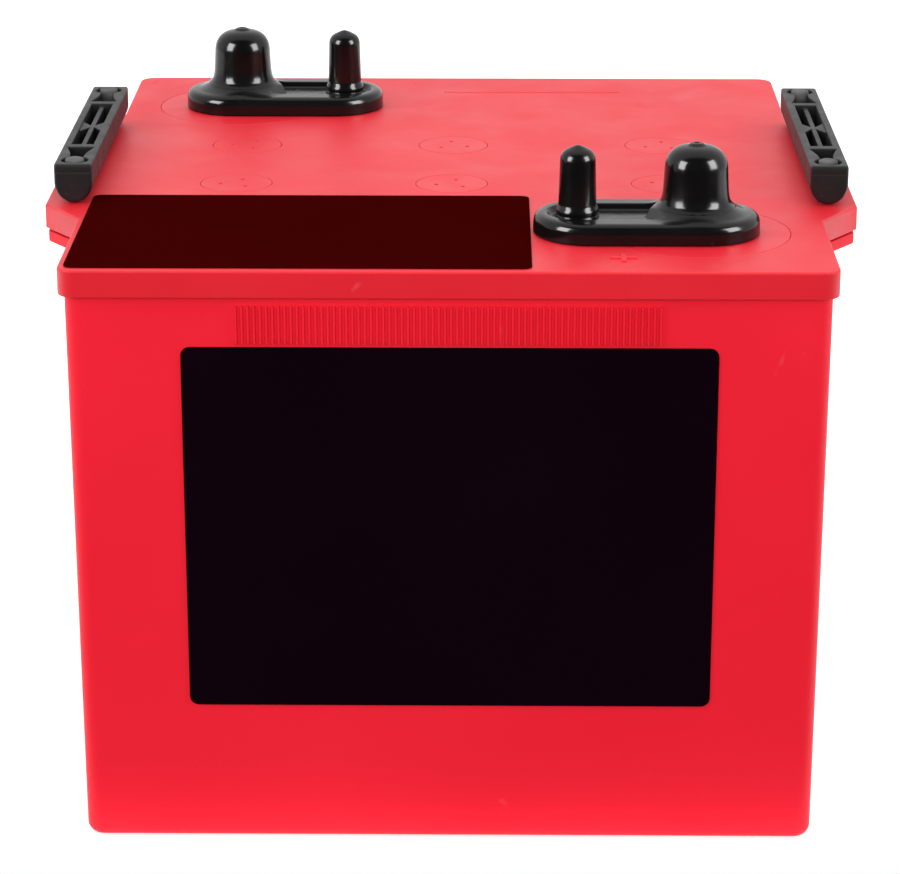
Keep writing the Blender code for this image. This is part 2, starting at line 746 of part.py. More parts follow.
def build_cells():
    negative_places = [(number - PAIRS) * PLATE_PITCH for number in range(0, 2 * PAIRS + 1, 2)]
    positive_places = [(number - PAIRS) * PLATE_PITCH for number in range(1, 2 * PAIRS, 2)]
    cells = zip(cell_order(), strap_lines())
    for number, ((column, row), (negative_line, positive_line)) in enumerate(cells, start=1):
        negative = f"negative_plates_{number}"
        build_plate_group(negative, column, row, negative_places, NEGATIVE_THICK, negative_line)
        positive = f"positive_plates_{number}"
        build_plate_group(positive, column, row, positive_places, POSITIVE_THICK, positive_line)
        build_mat(f"glass_mat_{number}", column, row)
    for name, start, stop in link_ends():
        length = (Vector(stop) - Vector(start)).length
        link = cylinder(name, LINK_RADIUS, -length / 2, length / 2, sides=12)
        lay_along(link, start, stop)
        finish(link, lead)


def build_labels():
    lean = math.atan(DRAFT / CASE_RIM)
    x, height = FRONT_LABEL_MIDDLE
    front = prism("front_label", rounded_rectangle(*FRONT_LABEL, LABEL_CORNER), 0.0, LABEL_THICK)
    face = -(CASE_TOP_DEPTH / 2 - DRAFT * (1 - height / CASE_RIM))
    front.rotation_euler = (math.pi / 2 + lean, 0.0, 0.0)
    front.location = (x, face - LABEL_CLEAR, height)
    finish(front, black_label)
    low = LID_TOP + LABEL_CLEAR
    outline = rounded_rectangle(*TOP_LABEL, LABEL_CORNER, TOP_LABEL_MIDDLE)
    finish(prism("top_label", outline, low, low + LABEL_THICK), maroon_label)


def build_handles():
    for side_name, side in SIDES.items():
        grip, joint = build_grip(side_name, side)
        build_ropes(side_name, side, joint)


empty_scene()
battery = new_collection("deep_cycle_battery", True)
cutters = new_collection("cutters", False)

red_case = new_material("red_case", (0.80, 0.012, 0.025), 0.42)
red_lid = new_material("red_lid", (0.80, 0.030, 0.038), 0.48)
red_pad = new_material("red_pad", (0.80, 0.022, 0.032), 0.25)
red_cap = new_material("red_cap", (0.80, 0.030, 0.038), 0.42)
vinyl = new_material("black_vinyl", (0.006, 0.006, 0.007), 0.16)
grip_plastic = new_material("grip_plastic", (0.022, 0.022, 0.024), 0.55)
cord = new_material("handle_rope", (0.030, 0.030, 0.032), 0.85)
rubber = new_material("valve_rubber", (0.012, 0.012, 0.012), 0.70)
lead = new_material("lead", (0.28, 0.29, 0.31), 0.50, 1.0)
steel = new_material("stainless_steel", (0.60, 0.60, 0.58), 0.28, 1.0)
grid = new_material("lead_grid", (0.16, 0.16, 0.17), 0.65, 0.8)
glass_mat = new_material("glass_mat", (0.80, 0.80, 0.76), 0.90)
black_label = new_material("black_label", (0.004, 0.001, 0.004), 0.45)
maroon_label = new_material("maroon_label", (0.040, 0.0005, 0.0005), 0.45)

build_case()
build_lid()
build_vents()
build_terminals()
build_boots()
build_handles()
build_cells()
build_labels()
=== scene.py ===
"""Looks of the deep cycle battery: red moulded case and lid, black boots and rope handles."""

import math
from itertools import product

import bmesh
import bpy
import numpy as np
from mathutils import Matrix, Vector


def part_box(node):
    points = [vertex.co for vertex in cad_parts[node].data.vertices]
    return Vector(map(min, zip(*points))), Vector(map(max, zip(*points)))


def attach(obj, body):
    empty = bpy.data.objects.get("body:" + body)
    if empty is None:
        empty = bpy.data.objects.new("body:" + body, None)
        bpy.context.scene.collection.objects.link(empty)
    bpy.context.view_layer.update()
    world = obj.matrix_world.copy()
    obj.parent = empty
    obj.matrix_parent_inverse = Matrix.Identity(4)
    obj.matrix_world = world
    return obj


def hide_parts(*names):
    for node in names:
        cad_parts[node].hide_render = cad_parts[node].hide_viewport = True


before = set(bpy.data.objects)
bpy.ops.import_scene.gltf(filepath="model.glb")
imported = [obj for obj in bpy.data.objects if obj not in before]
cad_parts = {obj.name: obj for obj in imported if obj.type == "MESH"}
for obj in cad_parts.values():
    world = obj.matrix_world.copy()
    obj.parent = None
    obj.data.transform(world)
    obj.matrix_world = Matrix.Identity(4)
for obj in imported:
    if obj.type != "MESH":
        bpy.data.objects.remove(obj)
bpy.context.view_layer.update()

# ---------------------------------------------------------------- sizes, in metres
GAP = 0.0003  # kept between neighbouring pieces
FIT = 0.00014  # kept round a cap or a pad
CORNER = 0.006

LID_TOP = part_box("terminal_pad_positive")[1].z
LID_WIDTH = 0.254
LID_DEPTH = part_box("lid")[1].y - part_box("lid")[0].y
PLATE_UNDER = LID_TOP - 0.005
SKIRT_BOTTOM = LID_TOP - 0.0093
SKIRT_WALL = 0.0016
EAR_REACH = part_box("lid")[1].x
EAR_ROOT_HALF = 0.077
EAR_TIP_HALF = 0.058
EAR_ROUND = 0.002
EAR_THICK = 0.0083
EAR_ROOM = (0.01998, 2 * EAR_ROOT_HALF + 0.006)  # cut away below a lug, across and along it
EAR_ROOM_OUT = 0.010  # from the lid's side to the middle of that room

CASE_WIDTH = LID_WIDTH - 2 * (SKIRT_WALL + GAP)
CASE_DEPTH = LID_DEPTH - 2 * (SKIRT_WALL + GAP)
CASE_RIM = PLATE_UNDER - GAP
CASE_FLOOR = 0.005
BASE_ROUND = 0.004
DRAFT = 0.00095
CELL_DEPTH = 0.13365
CELL_CORNER = 0.003
CELL_ROOM = 0.004  # how much wider a cell space is than its plates
LINK_HOLE_HALF = 0.003
FLANGE_TOP = SKIRT_BOTTOM - GAP
FLANGE_THICK = 0.004
FLANGE_INSET = 0.0008
FLANGE_ROOT = 0.004  # how far a flange is let into the wall

RIB_COUNT = 70
RIB_PITCH = 0.002
RIB_HALF = 0.00036
RIB_PROUD = 0.0012
RIB_ROOT = 0.001
RIB_ROUND = 0.00022
RIB_LOW = 0.1779
RIB_HIGH = 0.1909

WELL_RADIUS = 0.0128
WELL_WALL = 0.0022
WELL_FLOOR = 0.192
WELL_BASE = 0.190
NECK_RADIUS = 0.0045
NECK_BORE = 0.0022
NECK_TOP = 0.1975
RIM_ROUND = 0.00018
CAP_THICK = 0.003
CAP_ROUND = 0.0002
CAP_TURNS = (190, 75, 160, 55, 98, 200)  # degrees, to the first spanner hole of each cap
SPANNER_CIRCLE = 0.0056
SPANNER_HOLE = 0.0007
SPANNER_DEPTH = 0.0015
SPANNER_FLARE = 0.0002

MARK_PLACE = (0.0572, -0.1252)  # the plus sign; the minus sign is opposite
MARK_ARM = 0.0045
MARK_HALF = 0.0009
MARK_RAISED = 0.0006
MARK_ROUND = 0.00015
MARK_ROOT = 0.001
PANEL_SIZE = (0.0695, 0.022)
PANEL_PLACE = (0.0302, 0.1265)
PANEL_CORNER = 0.0012
PANEL_RAISED = 0.00015

PAD_RADIUS = 0.0321
PAD_THICK = 0.0025
RISER_RADIUS = 0.008
BAR_LOW = LID_TOP + GAP
BAR_HIGH = BAR_LOW + 0.0036
COLLAR = LID_TOP + 0.0075
POST_RADIUS = {"positive": 0.00875, "negative": 0.00795}  # at the top
POST_TAPER = 18  # height for each unit of radius
STUD_RADIUS = 0.00476
STUD_CHAMFER = (0.0009, 0.0012)  # radius and height
THREAD_PITCH = 0.0015875
THREAD_DEPTH = 0.00055
THREAD_RUN_IN = 0.0015

ROPE_RADIUS = 0.0028
ROPE_HOLE = 0.0032
ROPE_SPAN = 0.054

# Heights where the upright cutters start and end
UNDER_FLANGE = 0.18
OVER_FLANGE = 0.2
UNDER_PAD = 0.19
IN_LUG = 0.195
OVER_LID = 0.21

SIDES = {"left": -1, "right": 1}
POLES = {"positive": 1, "negative": -1}


def middle(node):
    low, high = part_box(node)
    return (low + high) / 2


# ---------------------------------------------------------------- mesh helpers
def soften(corners, steps=6):
    """A closed outline through (x, y, radius) corners, each turned by an arc."""
    points = []
    for number, (x, y, radius) in enumerate(corners):
        here = Vector((x, y))
        before = (here - Vector(corners[number - 1][:2])).normalized()
        after = (Vector(corners[(number + 1) % len(corners)][:2]) - here).normalized()
        turn = math.atan2(before.x * after.y - before.y * after.x, before.dot(after))
        if radius == 0 or abs(turn) < 1e-4:
            points.append(here)
            continue
        side = Vector((-before.y, before.x)) * math.copysign(radius, turn)
        centre = here - before * radius * math.tan(abs(turn) / 2) + side
        for step in range(steps + 1):
            points.append(centre + Matrix.Rotation(turn * step / steps, 2) @ -side)
    return points


def rectangle(width, depth, radius=0.0, centre=(0.0, 0.0), steps=6):
    x, y = width / 2, depth / 2
    ways = ((1, 1), (-1, 1), (-1, -1), (1, -1))
    return soften([(centre[0] + sx * x, centre[1] + sy * y, radius) for sx, sy in ways], steps)


def circle(radius, centre=(0.0, 0.0), sides=48):
    points = []
    for step in range(sides):
        turn = 2 * math.pi * step / sides
        x = centre[0] + radius * math.cos(turn)
        y = centre[1] + radius * math.sin(turn)
        points.append(Vector((x, y)))
    return points


def inset(outline, distance):
    """Each side of an anticlockwise outline moved inwards."""
    moved = []
    for number, here in enumerate(outline):
        before = (here - outline[number - 1]).normalized()
        after = (outline[(number + 1) % len(outline)] - here).normalized()
        one, two = Vector((-before.y, before.x)), Vector((-after.y, after.x))
        moved.append(here + distance * (one + two) / (1 + one.dot(two)))
    return moved


def new_object(name, vertices, faces):
    mesh = bpy.data.meshes.new(name)
    mesh.from_pydata([tuple(v) for v in vertices], [], faces)
    made = bpy.data.objects.new(name, mesh)
    bpy.context.scene.collection.objects.link(made)
    return made


def rings_to_object(name, rings):
    """Closed rings of equal length joined in order, with a face over each end."""
    count = len(rings[0])
    faces = [list(range(count))[::-1]]
    for level in range(len(rings) - 1):
        base = level * count
        for step in range(count):
            after = (step + 1) % count
            faces.append([base + step, base + after, base + count + after, base + count + step])
    faces.append([(len(rings) - 1) * count + step for step in range(count)])
    return new_object(name, [v for ring in rings for v in ring], faces)


def slab(name, outline, low, high, round_low=0.0, round_high=0.0, steps=3):
    """An outline made solid between two heights, with its ends rounded over."""
    levels = [(low, round_low)]
    turns = [math.pi / 2 * step / steps for step in range(steps + 1)]
    if round_low:
        for turn in turns[1:]:
            rise, back = 1 - math.cos(turn), 1 - math.sin(turn)
            levels.append((low + round_low * rise, round_low * back))
    if round_high:
        for turn in turns[:-1]:
            drop, back = 1 - math.sin(turn), 1 - math.cos(turn)
            levels.append((high - round_high * drop, round_high * back))
    levels.append((high, round_high))
    rings = [[(x, y, z) for x, y in inset(outline, distance)] for z, distance in levels]
    return rings_to_object(name, rings)


def turned(name, profile, centre=(0.0, 0.0), sides=48):
    """A profile of (radius, height) pairs, from the bottom up, turned about Z."""
    rings = []
    for radius, height in profile:
        rings.append([(x, y, height) for x, y in circle(max(radius, 1e-5), centre, sides)])
    return rings_to_object(name, rings)


def applied(target):
    """Turns an object's modifiers into its mesh."""
    bpy.context.view_layer.update()
    graph = bpy.context.evaluated_depsgraph_get()
    mesh = bpy.data.meshes.new_from_object(target.evaluated_get(graph))
    target.modifiers.clear()
    old, target.data = target.data, mesh
    bpy.data.meshes.remove(old)
    return target


def merged(pieces):
    """Separate solids as one object."""
    shape = bmesh.new()
    for piece in pieces:
        piece.data.transform(piece.matrix_basis)
        shape.from_mesh(piece.data)
    shape.to_mesh(pieces[0].data)
    shape.free()
    pieces[0].matrix_basis = Matrix.Identity(4)
    for piece in pieces[1:]:
        bpy.data.objects.remove(piece, do_unlink=True)
    return pieces[0]


def combine(target, operation, *tools):
    """Adds separate solids to a target, or takes them out of it."""
    tool = merged(list(tools))
    step = target.modifiers.new("step", "BOOLEAN")
    step.operation = operation
    step.object = tool
    step.solver = "EXACT"
    applied(target)
    bpy.data.objects.remove(tool, do_unlink=True)


def soft_shading(piece, angle=40):
    piece.data.shade_smooth()
    piece.data.set_sharp_from_angle(angle=math.radians(angle))
    weighted = piece.modifiers.new("even shading", "WEIGHTED_NORMAL")
    weighted.keep_sharp = True
    weighted.weight = 100
    return piece


def place_piece(piece, body, slot, material, *nodes):
    """Gives a finished piece its material, its body and the CAD nodes it stands for."""
    piece.data.materials.clear()
    piece.data.materials.append(material)
    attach(piece, body)
    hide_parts(*nodes)
    return piece


# ---------------------------------------------------------------- distance fields, in millimetres
def length(*parts):
    return np.sqrt(sum(part * part for part in parts))


def smooth_min(a, b, blend):
    share = np.clip(0.5 + 0.5 * (b - a) / blend, 0, 1)
    return b * (1 - share) + a * share - blend * share * (1 - share)


def smooth_max(a, b, blend):
    return -smooth_min(-a, -b, blend)


def surface(name, field, low, high, step):
    """The surface where a distance field is zero, as a mesh of even quads."""
    low = np.array(low, float)
    counts = [int(math.ceil((b - a) / step)) + 1 for a, b in zip(low, high)]
    axes = [low[axis] + step * np.arange(counts[axis]) for axis in range(3)]
    grid = np.stack(np.meshgrid(*axes, indexing="ij"), -1).reshape(-1, 3)
    value = field(*grid.T).reshape(counts)
    inside = value < 0

    halves = (slice(0, -1), slice(1, None))
    total = sum(inside[corner].astype(int) for corner in product(halves, repeat=3))
    mixed = (total > 0) & (total < 8)
    cells = np.argwhere(mixed)
    index = np.full(mixed.shape, -1)
    index[mixed] = np.arange(len(cells))

    sums, hits = np.zeros((len(cells), 3)), np.zeros(len(cells))
    for axis in range(3):
        unit = np.eye(3, dtype=int)[axis]
        for one, two in product((0, 1), repeat=2):
            start = cells + np.roll([0, one, two], axis)
            first, second = value[tuple(start.T)], value[tuple((start + unit).T)]
            crossed = (first < 0) != (second < 0)
            share = first[crossed] / (first[crossed] - second[crossed])
            sums[crossed] += start[crossed] + share[:, None] * unit
            hits[crossed] += 1
    points = low + step * sums / hits[:, None]

    reach, flattest, longest = 0.02, 0.05, 0.4 * step
    for _ in range(3):
        slopes = []
        for unit in np.eye(3):
            ahead, behind = (points + reach * unit).T, (points - reach * unit).T
            slopes.append((field(*ahead) - field(*behind)) / (2 * reach))
        slope = np.stack(slopes, 1)
        steepness = np.maximum((slope * slope).sum(1), flattest)
        move = (field(*points.T) / steepness)[:, None] * slope
        size = np.maximum(np.linalg.norm(move, axis=1), 1e-9)
        points -= move * np.minimum(1, longest / size)[:, None]

    quads = []
    for axis in range(3):
        b, c = (axis + 1) % 3, (axis + 2) % 3
        start = np.take(inside, range(counts[axis] - 1), axis)
        stop = np.take(inside, range(1, counts[axis]), axis)
        edge = np.argwhere(start != stop)
        keep = (edge[:, b] > 0) & (edge[:, c] > 0)
        keep &= (edge[:, b] < counts[b] - 1) & (edge[:, c] < counts[c] - 1)
        edge = edge[keep]
        ring = []
        for step_b, step_c in ((-1, -1), (0, -1), (0, 0), (-1, 0)):
            cell = edge.copy()
            cell[:, b] += step_b
            cell[:, c] += step_c
            ring.append(index[tuple(cell.T)])
        quad = np.stack(ring, 1)
        outward = inside[tuple(edge.T)]
        quad[~outward] = quad[~outward][:, ::-1]
        quads.append(quad)

    made = new_object(name, points / 1000, np.concatenate(quads).tolist())
    made.data.shade_smooth()
    slope /= np.maximum(np.linalg.norm(slope, axis=1), 1e-9)[:, None]
    made.data.normals_split_custom_set_from_vertices(slope.tolist())
    return made


# ---------------------------------------------------------------- materials
def node(tree, kind, inputs=None, **settings):
    made = tree.nodes.new(kind)
    for key, value in settings.items():
        setattr(made, key, value)
    for socket, value in (inputs or {}).items():
        if isinstance(value, bpy.types.NodeSocket):
            tree.links.new(value, made.inputs[socket])
        else:
            made.inputs[socket].default_value = value
    return made


def noise(tree, place, scale, detail=4.0, distortion=0.0, stretch=None):
    if stretch:
        place = node(tree, "ShaderNodeMapping", {"Vector": place, "Scale": stretch}).outputs[0]
    inputs = {"Vector": place, "Scale": scale, "Detail": detail, "Distortion": distortion}
    return node(tree, "ShaderNodeTexNoise", inputs).outputs[0]


def spread(tree, value, low, high, to_low, to_high):
    inputs = {"Value": value, "From Min": low, "From Max": high}
    inputs |= {"To Min": to_low, "To Max": to_high}
    return node(tree, "ShaderNodeMapRange", inputs).outputs[0]


def blend(tree, share, one, two):
    made = node(tree, "ShaderNodeMix", data_type="RGBA")
    for socket, value in ((0, share), (6, one), (7, two)):
        if isinstance(value, bpy.types.NodeSocket):
            tree.links.new(value, made.inputs[socket])
        elif socket == 0:
            made.inputs[socket].default_value = value
        else:
            made.inputs[socket].default_value = (*value, 1.0)
    return made.outputs[2]


def look(
    name,
    colour,
    tone,
    roughness,
    cloud=9.0,
    grain=900.0,
    grain_depth=0.00002,
    swell=0.0,
    swell_scale=60.0,
    wear=None,
    wear_scale=40.0,
    wear_cut=(0.66, 0.74),
    wear_stretch=(1.0, 1.0, 1.0),
    metallic=0.0,
    specular=0.5,
):
    """A material whose colour, roughness and relief all vary over the surface.

    colour and tone are the two ends of the colour variation, roughness its low and high value,
    grain the fine relief, swell the slow relief, and wear the colour of rubbed or dusty spots.
    """
    material = bpy.data.materials.new(name)
    material.use_nodes = True
    tree = material.node_tree
    shader = tree.nodes["Principled BSDF"]
    place = node(tree, "ShaderNodeTexCoord").outputs["Object"]

    clouds = noise(tree, place, cloud, 5.0)
    fine = noise(tree, place, grain, 3.0)
    base = blend(tree, spread(tree, clouds, 0.3, 0.7, 0.0, 1.0), colour, tone)
    base = blend(tree, spread(tree, fine, 0.3, 0.7, 0.0, 0.35), base, tone)
    rough = spread(tree, noise(tree, place, cloud * 3.3, 5.0, 0.4), 0.3, 0.7, *roughness)
    if wear:
        rubbed = noise(tree, place, wear_scale, 6.0, 0.8, wear_stretch)
        amount = spread(tree, rubbed, *wear_cut, 0.0, wear[3])
        base = blend(tree, amount, base, wear[:3])
        more = node(tree, "ShaderNodeMath", {0: rough, 1: amount}, operation="ADD")
        more.use_clamp = True
        rough = more.outputs[0]
    tree.links.new(base, shader.inputs["Base Color"])
    tree.links.new(rough, shader.inputs["Roughness"])

    inputs = {"Height": fine, "Strength": 1.0, "Distance": grain_depth}
    normal = node(tree, "ShaderNodeBump", inputs)
    if swell:
        slow = noise(tree, place, swell_scale, 2.0)
        inputs = {"Height": slow, "Strength": 1.0, "Distance": swell, "Normal": normal.outputs[0]}
        normal = node(tree, "ShaderNodeBump", inputs)
    tree.links.new(normal.outputs[0], shader.inputs["Normal"])

    shader.inputs["Metallic"].default_value = metallic
    shader.inputs["Specular IOR Level"].default_value = specular
    return material


SCUFF = (0.86, 0.16, 0.18, 0.45)
red_case = look(
    "red_case", (0.84, 0.019, 0.038), (0.77, 0.014, 0.030), (0.38, 0.48),
    cloud=7.0, grain=1400.0, grain_depth=0.000012, swell=0.00025, swell_scale=26.0, wear=SCUFF,
    wear_scale=55.0, wear_cut=(0.70, 0.80), wear_stretch=(1.0, 1.0, 0.45), specular=0.11,
)
red_lid = look(
    "red_lid", (0.72, 0.015, 0.029), (0.66, 0.012, 0.024), (0.43, 0.55),
    cloud=11.0, grain=1500.0, grain_depth=0.000016, swell=0.00035, swell_scale=34.0, wear=SCUFF,
    wear_scale=70.0, wear_cut=(0.68, 0.80), wear_stretch=(1.0, 0.5, 1.0), specular=0.50,
)
red_pad = look(
    "red_pad", (0.73, 0.014, 0.029), (0.68, 0.011, 0.024), (0.38, 0.50),
    cloud=14.0, grain=1600.0, grain_depth=0.000006, swell=0.00012, swell_scale=40.0, wear=SCUFF,
    wear_scale=90.0, wear_cut=(0.70, 0.82), specular=0.50,
)
red_cap = look(
    "red_cap", (0.72, 0.015, 0.029), (0.67, 0.012, 0.024), (0.41, 0.53),
    cloud=16.0, grain=1500.0, grain_depth=0.000012, swell=0.00020, swell_scale=60.0, wear=SCUFF,
    wear_scale=120.0, wear_cut=(0.68, 0.80), specular=0.50,
)
vinyl = look(
    "black_vinyl", (0.0022, 0.0022, 0.0024), (0.0040, 0.0040, 0.0043), (0.13, 0.22),
    cloud=30.0, grain=900.0, grain_depth=0.000006, swell=0.00016, swell_scale=80.0,
    wear=(0.02, 0.02, 0.02, 0.25), wear_scale=160.0, wear_cut=(0.66, 0.80), specular=0.30,
)
grip_plastic = look(
    "grip_plastic", (0.0075, 0.0075, 0.0080), (0.0130, 0.0130, 0.0135), (0.42, 0.56),
    cloud=40.0, grain=2200.0, grain_depth=0.00005, swell=0.00006, swell_scale=140.0,
    wear=(0.08, 0.08, 0.08, 0.5), wear_scale=190.0, wear_cut=(0.62, 0.78),
    wear_stretch=(1.0, 0.35, 1.0), specular=0.48,
)
rope_nylon = look(
    "handle_rope", (0.045, 0.045, 0.046), (0.110, 0.110, 0.112), (0.62, 0.85),
    cloud=220.0, grain=2600.0, grain_depth=0.00010, wear=(0.16, 0.16, 0.16, 0.4),
    wear_scale=600.0, wear_cut=(0.58, 0.75),
)
rubber = look(
    "valve_rubber", (0.010, 0.010, 0.010), (0.022, 0.022, 0.022), (0.60, 0.80),
    cloud=120.0, grain=1800.0, grain_depth=0.00003,
)
lead = look(
    "lead", (0.30, 0.31, 0.33), (0.19, 0.20, 0.22), (0.38, 0.62),
    cloud=90.0, grain=1100.0, grain_depth=0.00005, swell=0.00012, swell_scale=260.0,
    wear=(0.46, 0.47, 0.48, 0.5), wear_scale=420.0, wear_cut=(0.55, 0.72),
    wear_stretch=(1.0, 1.0, 0.25), metallic=1.0,
)
steel = look(
    "stainless_steel", (0.62, 0.61, 0.59), (0.50, 0.50, 0.49), (0.20, 0.36),
    cloud=120.0, grain=1500.0, grain_depth=0.00002, metallic=1.0, wear=(0.30, 0.29, 0.27, 0.4),
    wear_scale=300.0, wear_cut=(0.6, 0.75),
)
grid_lead = look(
    "lead_grid", (0.17, 0.17, 0.18), (0.11, 0.10, 0.10), (0.55, 0.80),
    cloud=60.0, grain=900.0, grain_depth=0.0001, metallic=0.7, wear=(0.24, 0.20, 0.17, 0.6),
    wear_scale=180.0, wear_cut=(0.5, 0.7),
)
glass_fibre = look(
    "glass_mat", (0.80, 0.80, 0.76), (0.68, 0.68, 0.63), (0.80, 0.95),
    cloud=90.0, grain=2400.0, grain_depth=0.00015,
)
black_label = look(
    "black_label", (0.0038, 0.0007, 0.0026), (0.0050, 0.0010, 0.0034), (0.40, 0.52),
    cloud=12.0, grain=2400.0, grain_depth=0.000006, swell=0.00004, swell_scale=30.0,
    specular=0.02,
)
maroon_label = look(
    "maroon_label", (0.031, 0.0005, 0.0006), (0.036, 0.0007, 0.0008), (0.42, 0.54),
    cloud=14.0, grain=2400.0, grain_depth=0.000006, swell=0.00004, swell_scale=30.0,
    specular=0.0,
)


# ---------------------------------------------------------------- case
def lug_corners(side, less=0.0):
    """The corners of one handle lug from front to rear, outside the wall it stands on."""
    edge, reach = LID_WIDTH / 2 - less, EAR_REACH - less
    root, tip = EAR_ROOT_HALF - less, EAR_TIP_HALF - less / 2
    front = [(side * edge, -root, 0.0), (side * reach, -tip, EAR_ROUND)]
    return front + [(x, -y, radius) for x, y, radius in reversed(front)]


def rope_places():
    for name in SIDES:
        grip = middle(f"handle_grip_{name}")
        for end in (-1, 1):
            yield grip.x, grip.y + end * ROPE_SPAN


def build_flanges():
    """The shelf under each handle lug, which the rope knots come up against."""
    flanges = []
    for side in SIDES.values():
        root = side * (CASE_WIDTH / 2 - FLANGE_ROOT)
        corners = lug_corners(side, FLANGE_INSET)
        corners = [(root, corners[0][1], 0.0), *corners, (root, corners[-1][1], 0.0)]
        outline = soften(corners if side > 0 else corners[::-1])
        low, high = FLANGE_TOP - FLANGE_THICK, FLANGE_TOP
        flanges.append(slab("flange", outline, low, high, 0.0006, 0.0003))
    return flanges


def build_ribs():
    """The row of upright ribs on the front wall, joined by a strip inside the wall."""
    face = -CASE_DEPTH / 2
    front, land, root = face - RIB_PROUD, face + GAP, face + RIB_ROOT
    chamfer = RIB_ROUND * 0.3
    comb = []
    for number in range(RIB_COUNT):
        x = (number - (RIB_COUNT - 1) / 2) * RIB_PITCH
        left, right = x - RIB_HALF, x + RIB_HALF
        comb += [(left, land), (left, front + RIB_ROUND)]
        comb += [(left + chamfer, front + chamfer), (left + RIB_ROUND, front)]
        comb += [(right - RIB_ROUND, front), (right - chamfer, front + chamfer)]
        comb += [(right, front + RIB_ROUND), (right, land)]
    comb += [(comb[-1][0], root), (comb[0][0], root)]
    return slab("ribs", [Vector(point) for point in comb], RIB_LOW, RIB_HIGH, 0.0002, 0.0002, 2)


def build_case():
    outline = rectangle(CASE_WIDTH, CASE_DEPTH, CORNER, steps=10)
    case = slab("visual_case", outline, 0.0, CASE_RIM, BASE_ROUND, 0.0, 6)
    for vertex in case.data.vertices:
        rise = 1 - vertex.co.z / CASE_RIM
        vertex.co.x *= 1 - 2 * DRAFT / CASE_WIDTH * rise
        vertex.co.y *= 1 - 2 * DRAFT / CASE_DEPTH * rise
    combine(case, "UNION", *build_flanges())
    combine(case, "UNION", build_ribs())

    cuts = []
    for place in rope_places():
        cuts.append(slab("hole", circle(ROPE_HOLE + GAP, place, 24), UNDER_FLANGE, OVER_FLANGE))
    for number in range(1, 7):
        low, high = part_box(f"negative_plates_{number}")
        width = high.x - low.x + CELL_ROOM
        centre = middle(f"glass_mat_{number}")
        outline = rectangle(width, CELL_DEPTH, CELL_CORNER, centre, 4)
        cuts.append(slab("space", outline, CASE_FLOOR, LID_TOP))
    combine(case, "DIFFERENCE", *cuts)

    links = []
    for number in range(1, 6):
        low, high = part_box(f"cell_link_{number}_{number + 1}")
        size = high - low
        outline = circle(min(size) / 2 + GAP, sides=20)
        hole = slab("link_hole", outline, -LINK_HOLE_HALF, LINK_HOLE_HALF)
        turn = Matrix.Rotation(math.pi / 2, 4, "Y" if size.x > size.y else "X")
        hole.matrix_basis = Matrix.Translation((low + high) / 2) @ turn
        links.append(hole)
    combine(case, "DIFFERENCE", *links)
    place_piece(soft_shading(case), "battery", "red_case", red_case, "case")


# ---------------------------------------------------------------- lid
def flared(name, radius, floor, centre, sides=64):
    """A cutter for a round recess whose rim is rounded over."""
    profile = [(radius, floor), (radius, LID_TOP - RIM_ROUND)]
    for step in range(1, 4):
        turn = math.pi / 2 * step / 3
        out, drop = RIM_ROUND * (1 - math.cos(turn)), RIM_ROUND * (1 - math.sin(turn))
        profile.append((radius + out, LID_TOP - drop))
    profile.append((radius + 2 * RIM_ROUND, LID_TOP + RIM_ROUND))
    return turned(name, profile, centre, sides)


def build_marks():
    """The raised plus and minus signs, and the blank panel at the rear."""
    x, y = MARK_PLACE
    arm, half = MARK_ARM, MARK_HALF
    plus = [(arm, half), (half, half), (half, arm), (-half, arm), (-half, half), (-arm, half)]
    plus += [(-px, -py) for px, py in plus]
    plus = [Vector((x + px, y + py)) for px, py in plus]
    minus = rectangle(2 * arm, 2 * half, 0.0003, (-x, -y))
    panel = rectangle(*PANEL_SIZE, PANEL_CORNER, PANEL_PLACE)
    root, raised = LID_TOP - MARK_ROOT, LID_TOP + MARK_RAISED
    return [
        slab("plus", plus, root, raised, 0.0, MARK_ROUND, 2),
        slab("minus", minus, root, raised, 0.0, MARK_ROUND, 2),
        slab("panel", panel, root, LID_TOP + PANEL_RAISED, 0.0, MARK_ROUND),
    ]


